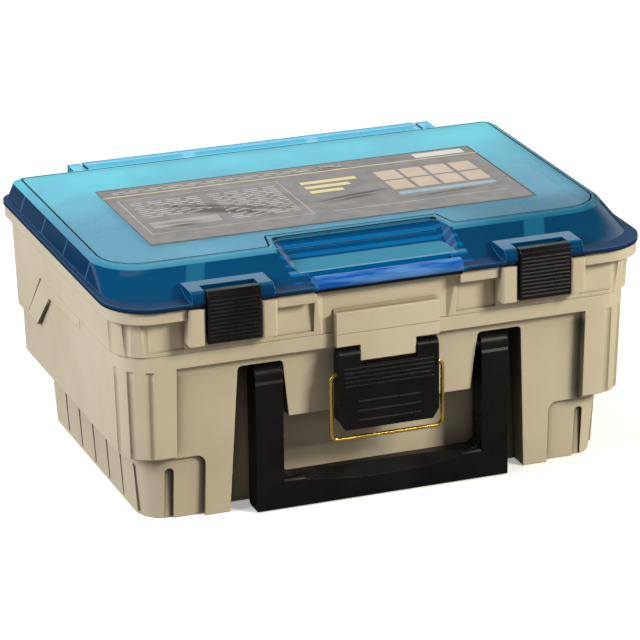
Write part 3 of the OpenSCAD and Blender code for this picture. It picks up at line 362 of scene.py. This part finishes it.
def label_film():
    """A glossy printed film with a plain layout of rules, bars and blocks."""
    ground_dark, ground_light = (0.105, 0.094, 0.086), (0.140, 0.126, 0.117)
    gold, pale, tan = (0.70, 0.58, 0.22), (0.60, 0.60, 0.61), (0.50, 0.38, 0.27)
    blue, rule, patch = (0.20, 0.34, 0.46), (0.40, 0.37, 0.33), (0.27, 0.25, 0.23)
    bar, rear_bar = (0.34, 0.33, 0.32), (0.36, 0.35, 0.34)
    # Bars follow a sine along the row, and each row is shifted by the sine of its number
    bar_rate, row_rate, row_shift = 0.42, 47.3, 37.0

    t = Tree("printed_film")
    u, v = t.millimetres((LABEL_LOW.x, LABEL_LOW.y, 0))[:2]
    width = ((LABEL_HIGH - LABEL_LOW) * MM).x

    def block(u0, u1, v0, v1):
        return t.all_of(t.between(u, u0, u1), t.between(v, v0, v1))

    def bars(u0, u1, v0, v1, pitch):
        """Rows of short plain bars, a pitch apart."""
        row = t.math("FLOOR", t.math("DIVIDE", v, pitch))
        phase = t.math("FRACT", t.math("DIVIDE", v, pitch))
        shift = t.math("MULTIPLY", t.math("SINE", t.math("MULTIPLY", row, row_rate)), row_shift)
        wave = t.math("SINE", t.math("MULTIPLY_ADD", u, bar_rate, shift))
        return t.all_of(block(u0, u1, v0, v1), t.smooth(phase, 0.50, 0.42),
                        t.smooth(wave, -0.75, -0.6))

    # What is printed, in mm from the front left corner: left, right, front and rear side
    printed = [
        (block(0, width, 112.5, 113.8), gold),
        (block(width - 48, width - 8, 117, 127), pale),
        (bars(10, 190, 117, 125, 3.6), rear_bar),
        (t.math("SUBTRACT", block(8, 132, 22, 104), block(8.7, 131.3, 22.7, 103.3)), rule),
        (bars(14, 66, 58, 96, 4.2), bar),
        (bars(74, 126, 34, 96, 4.2), bar),
        (block(14, 66, 34, 48), patch),
    ]
    printed += [(block(146, 190 - 9 * i, 88 - 11 * i, 94 - 11 * i), gold) for i in range(3)]
    printed += [(block(206 + 20 * i, 223 + 20 * i, 52 + 24 * j, 73 + 24 * j), tan)
                for i in range(4) for j in range(2)]
    printed += [(block(206, 283, 40, 46), blue), (block(146, 283, 22, 22.8), rule)]
    ground = t.smooth(t.noise(22, detail=4, roughness=0.6), 0.3, 0.7)
    tone = t.mix(ground, ground_dark, ground_light)
    for mask, colour in printed:
        tone = t.mix(mask, tone, colour)
    t.shade("Base Color", tone)

    t.shade("Roughness", t.smooth(t.noise(80), 0.3, 0.7, 0.16, 0.26))
    t.shade("Specular IOR Level", 0.6)
    waves = t.bump(t.noise(34, stretch=(0.6, 1, 1), distortion=0.7), 0.25, 0.0012)
    t.shade("Normal", t.bump(t.noise(700, roughness=0.6), 0.08, 0.0002, waves))
    return t.mat


BRASS_DARK, BRASS_LIGHT = (0.52, 0.35, 0.06), (0.80, 0.56, 0.13)
STEEL_DARK, STEEL_LIGHT = (0.42, 0.43, 0.45), (0.62, 0.63, 0.65)
MATERIALS = {
    "case_plastic": beige_plastic(),
    "divider_plastic": beige_plastic(),
    "clear_lid": clear_lid(),
    "black_plastic": black_plastic(),
    "brass_wire": metal("brass_wire", BRASS_DARK, BRASS_LIGHT, 0.20, 0.34, (1, 1, 0.2)),
    "steel_pin": metal("steel_pin", STEEL_DARK, STEEL_LIGHT, 0.24, 0.38, (0.1, 1, 1)),
    "label_film": label_film(),
}


# ------------------------------------------------------------------ the CAD pieces

SMOOTH_ANGLE = math.radians(26)
WELD_DISTANCE = 2e-6


def smoothing_group():
    """Welds a CAD mesh and shades it smooth, but for the edges sharper than SMOOTH_ANGLE."""
    g = bpy.data.node_groups.new("smooth_cad", "GeometryNodeTree")
    g.interface.new_socket("Geometry", in_out="INPUT", socket_type="NodeSocketGeometry")
    g.interface.new_socket("Geometry", in_out="OUTPUT", socket_type="NodeSocketGeometry")
    drop = g.nodes.new("GeometryNodeRemoveAttribute")
    drop.inputs["Name"].default_value = "custom_normal"
    weld = g.nodes.new("GeometryNodeMergeByDistance")
    weld.inputs["Distance"].default_value = WELD_DISTANCE
    faces = g.nodes.new("GeometryNodeSetShadeSmooth")
    faces.domain = "FACE"
    faces.inputs["Shade Smooth"].default_value = True
    edges = g.nodes.new("GeometryNodeSetShadeSmooth")
    edges.domain = "EDGE"
    angle = g.nodes.new("GeometryNodeInputMeshEdgeAngle")
    less = g.nodes.new("FunctionNodeCompare")
    less.operation = "LESS_THAN"
    less.inputs[1].default_value = SMOOTH_ANGLE
    g.links.new(angle.outputs[0], less.inputs[0])
    g.links.new(less.outputs[0], edges.inputs["Shade Smooth"])
    first, last = g.nodes.new("NodeGroupInput"), g.nodes.new("NodeGroupOutput")
    chain = [first, drop, weld, faces, edges, last]
    for a, b in zip(chain, chain[1:]):
        g.links.new(a.outputs["Geometry"], b.inputs["Geometry"])
    return g


SMOOTH = smoothing_group()
for node in NODES.values():
    for slot in node.material_slots:
        name = slot.material.name.split(".")[0]
        if name in MATERIALS:
            slot.material = MATERIALS[name]
    modifier = node.modifiers.new("smooth_cad", "NODES")
    modifier.node_group = SMOOTH


# ------------------------------------------------------------------ the label

def add_mesh(name, build, material):
    """Adds an object with one material, whose mesh a function builds."""
    mesh = bpy.data.meshes.new(name)
    bm = bmesh.new()
    build(bm)
    bm.to_mesh(mesh)
    bm.free()
    mesh.materials.append(material)
    made = bpy.data.objects.new(name, mesh)
    bpy.context.scene.collection.objects.link(made)
    return made


# The ripples and bubbles of the film: each one's middle from the label's front left corner, half
# length, half width, turn in degrees and height, in mm
RIPPLES = (
    (72, 57, 40, 6.0, -24, 1.5),
    (88, 46, 26, 3.5, -38, 0.8),
    (36, 36, 13, 3.0, -6, 0.8),
    (178, 117, 12, 2.6, -14, 0.6),
    (172, 48, 24, 3.5, 10, 0.9),
    (240, 30, 26, 3.0, 4, 0.5),
)
LABEL_GRID = (198, 88)


def ripple_height(px, py):
    """How far the film is lifted at a place on the label, all in metres."""
    height = 0.0
    for mid_x, mid_y, half_l, half_w, turn, rise in RIPPLES:
        c, s = math.cos(math.radians(turn)), math.sin(math.radians(turn))
        dx, dy = px * MM - mid_x, py * MM - mid_y
        a, b = (c * dx + s * dy) / half_l, (c * dy - s * dx) / half_w
        height += rise * math.exp(-a * a - b * b)
    return height / MM


def rippled_label():
    """The film label, lifted from the lid along a few soft ripples and bubbles."""
    size = LABEL_HIGH - LABEL_LOW
    across, along = LABEL_GRID

    def build(bm):
        grid = []
        for j in range(along + 1):
            row = []
            for i in range(across + 1):
                px, py = size.x * i / across, size.y * j / along
                row.append(bm.verts.new((LABEL_LOW.x + px, LABEL_LOW.y + py,
                                         LABEL_LOW.z + ripple_height(px, py))))
            grid.append(row)
        for near, far in zip(grid, grid[1:]):
            for i in range(across):
                face = bm.faces.new((near[i], near[i + 1], far[i + 1], far[i]))
                face.smooth = True

    label = add_mesh("label_film", build, MATERIALS["label_film"])
    skin = label.modifiers.new("thickness", "SOLIDIFY")
    skin.thickness = size.z
    skin.offset = 1
    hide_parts("lid_label")
    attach(label, "lid")


rippled_label()


# ------------------------------------------------------------------ floor, light and camera

FLOOR_HALF = 9
FLOOR_DROP = 0.0003
# The floor is pale to the camera, and duller in the light that it throws back on the object
FLOOR_SEEN, FLOOR_UNSEEN, FLOOR_GLOW = (0.93, 0.93, 0.93), (0.27, 0.26, 0.25), 0.32

# The world's strengths, and the parts of a direction between which each of them fades in
WORLD_DIM, WORLD_LEFT, WORLD_BEHIND = 0.13, 0.16, 1.15
LEFT_X, BEHIND_Y, BAND_TOP_Z, BAND_FOOT_Z = (-0.2, -0.9), (0.3, 0.7), (0.62, 0.42), (0.20, 0.30)

# Each lamp's name, place, target, size, power in watts and colour
LAMPS = (
    ("key", (-2.6, -0.2, 1.5), (0, 0, 0.08), (1.2, 1.2), 76, (0.98, 0.99, 1.0)),
    ("front", (1.7, -1.9, 1.45), (0, -0.1, 0.12), (0.8, 0.6), 78, (1.0, 0.94, 0.81)),
    ("overhead", (0.1, 0.2, 2.4), (0, 0, 0.1), (1.6, 1.4), 8, (1, 1, 1)),
)

# The camera of the photograph, fitted to the object's edges, in degrees, metres and pixels
CAMERA_YAW, CAMERA_PITCH, CAMERA_ROLL = 21.181, 20.023, -0.442
CAMERA_PLACE = (-0.9032, -2.427125, 1.0329)
FRAME_PX, FOCAL_PX = 640, 3718.3
CENTRE_PX = (366.24, 319.30)
SENSOR_MM = 36
CLIP_END = 60


def plain_floor():
    t = Tree("pale_floor")
    seen = t.add("ShaderNodeLightPath").outputs["Is Camera Ray"]
    t.shade("Base Color", t.mix(seen, FLOOR_UNSEEN, FLOOR_SEEN))
    t.shade("Roughness", 0.6)
    t.shade("Specular IOR Level", 0.0)
    t.shade("Emission Color", (1, 1, 1))
    t.shade("Emission Strength", t.math("MULTIPLY", seen, FLOOR_GLOW))

    def build(bm):
        for x, y in ((-1, -1), (1, -1), (1, 1), (-1, 1)):
            bm.verts.new((x * FLOOR_HALF, y * FLOOR_HALF, -FLOOR_DROP))
        bm.faces.new(bm.verts[:])

    floor = add_mesh("floor", build, t.mat)


def lamp(name, place, target, size, power, colour):
    data = bpy.data.lights.new(name, "AREA")
    data.shape = "RECTANGLE"
    data.size, data.size_y = size
    data.energy = power
    data.color = colour
    made = bpy.data.objects.new(name, data)
    bpy.context.scene.collection.objects.link(made)
    made.location = place
    made.rotation_euler = (Vector(target) - Vector(place)).to_track_quat("-Z", "Y").to_euler()


def studio():
    """White to the camera; to the object, bright low behind it and dim elsewhere."""
    world = bpy.data.worlds.new("studio")
    bpy.context.scene.world = world
    world.use_nodes = True
    nt = world.node_tree
    background = nt.nodes["Background"]

    def node(kind, **props):
        made = nt.nodes.new(kind)
        for key, value in props.items():
            setattr(made, key, value)
        return made

    def ramp(value, low, high, to_low=0, to_high=1):
        made = node("ShaderNodeMapRange", interpolation_type="SMOOTHSTEP")
        nt.links.new(value, made.inputs["Value"])
        for name, v in (("From Min", low), ("From Max", high),
                        ("To Min", to_low), ("To Max", to_high)):
            made.inputs[name].default_value = v
        return made.outputs["Result"]

    def combine(op, a, b):
        made = node("ShaderNodeMath", operation=op)
        nt.links.new(a, made.inputs[0])
        nt.links.new(b, made.inputs[1])
        return made.outputs[0]

    parts = node("ShaderNodeSeparateXYZ")
    nt.links.new(node("ShaderNodeTexCoord").outputs["Generated"], parts.inputs[0])
    x, y, z = parts.outputs
    band = combine("MULTIPLY", ramp(z, *BAND_TOP_Z), ramp(z, *BAND_FOOT_Z))
    low_behind = combine("MULTIPLY", ramp(y, *BEHIND_Y, 0, WORLD_BEHIND), band)
    strength = combine("ADD", ramp(x, *LEFT_X, WORLD_DIM, WORLD_LEFT), low_behind)
    seen = node("ShaderNodeLightPath").outputs["Is Camera Ray"]
    nt.links.new(combine("MAXIMUM", strength, seen), background.inputs["Strength"])
    background.inputs["Color"].default_value = (1, 1, 1, 1)
    for values in LAMPS:
        lamp(*values)


def photo_camera():
    yaw, pitch, roll = (math.radians(a) for a in (CAMERA_YAW, CAMERA_PITCH, CAMERA_ROLL))
    forward = Vector((math.sin(yaw) * math.cos(pitch), math.cos(yaw) * math.cos(pitch),
                      -math.sin(pitch)))
    right = Vector((math.cos(yaw), -math.sin(yaw), 0))
    up = right.cross(forward)
    right_rolled = math.cos(roll) * right + math.sin(roll) * up
    up_rolled = math.cos(roll) * up - math.sin(roll) * right
    data = bpy.data.cameras.new("photo_camera")
    data.sensor_width = SENSOR_MM
    data.lens = FOCAL_PX * SENSOR_MM / FRAME_PX
    data.shift_x = (FRAME_PX / 2 - CENTRE_PX[0]) / FRAME_PX
    data.shift_y = (CENTRE_PX[1] - FRAME_PX / 2) / FRAME_PX
    data.clip_end = CLIP_END
    camera = bpy.data.objects.new("photo_camera", data)
    bpy.context.scene.collection.objects.link(camera)
    turn = Matrix((right_rolled, up_rolled, -forward)).transposed().to_4x4()
    camera.matrix_world = Matrix.Translation(CAMERA_PLACE) @ turn
    bpy.context.scene.camera = camera


plain_floor()
studio()
photo_camera()
bpy.context.scene.view_settings.view_transform = "Standard"
